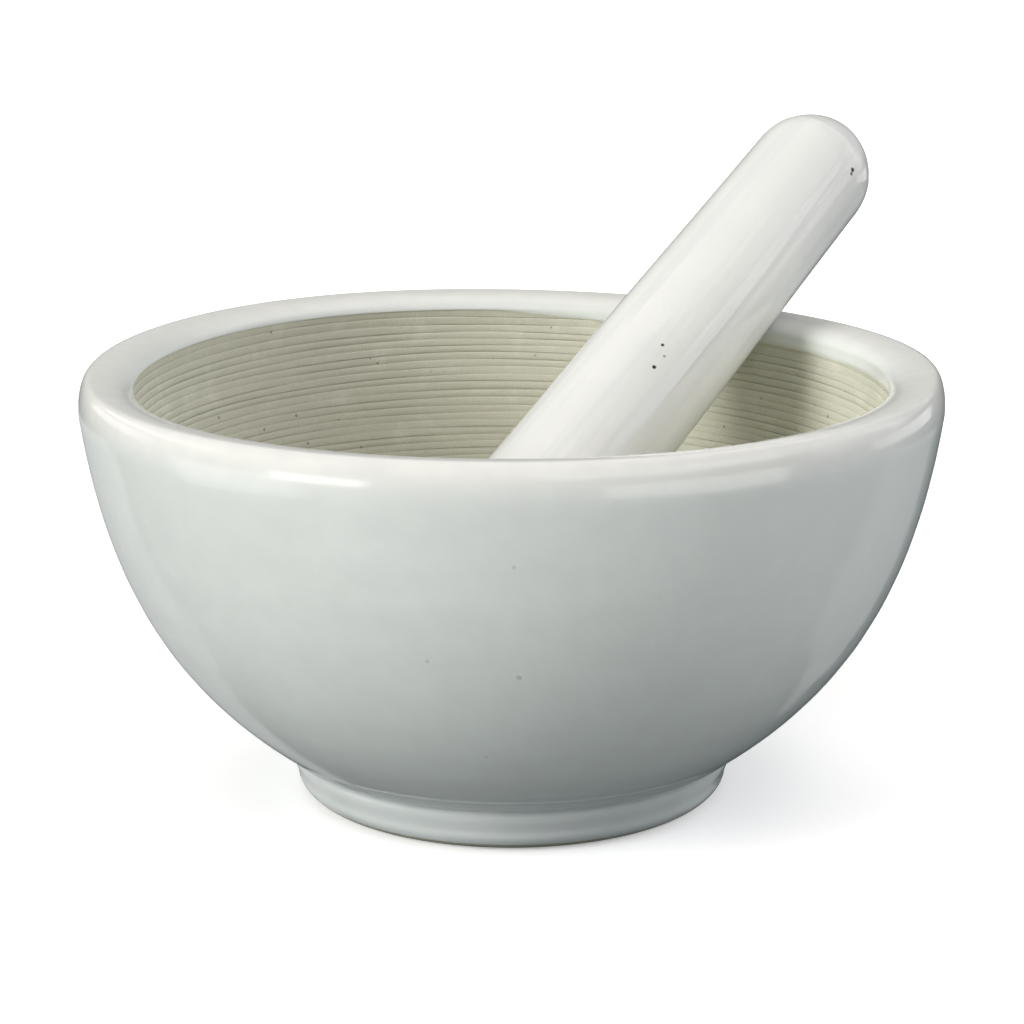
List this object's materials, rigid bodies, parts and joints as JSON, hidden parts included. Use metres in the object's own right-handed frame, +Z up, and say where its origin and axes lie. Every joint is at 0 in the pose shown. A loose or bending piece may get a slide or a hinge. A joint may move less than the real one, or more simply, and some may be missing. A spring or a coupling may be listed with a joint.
{
  "type": "mortar and pestle",
  "caption": "Round ceramic mortar with a broad rolled rim, unglazed ridged inside and a turned foot, with a tapered round-ended pestle leaning on its rim.",
  "frame": {"origin": "centre of the mortar's foot, on the surface that it stands on", "axes": "+Z up along the mortar's axis; the pestle leans towards +X and +Y, 46.4 degrees from +X, and the picture looks along +Y with +X to the right"},
  "size_m": [0.2, 0.2, 0.1498],
  "materials": {
    "mortar_ceramic": "glossy off-white glaze outside and on the rim, matt unglazed beige inside",
    "pestle_ceramic": "glossy off-white glaze on the shaft and grip, matt unglazed head"
  },
  "bodies": {
    "mortar": {"mortar": "mortar_ceramic"},
    "pestle": {"pestle": "pestle_ceramic"}
  },
  "joints": [
    {"name": "pestle_lift_out", "type": "slide", "parent": "mortar", "child": "pestle", "axis": [0.5603, 0.5884, 0.583], "range_m": [0, 0.2]}
  ]
}
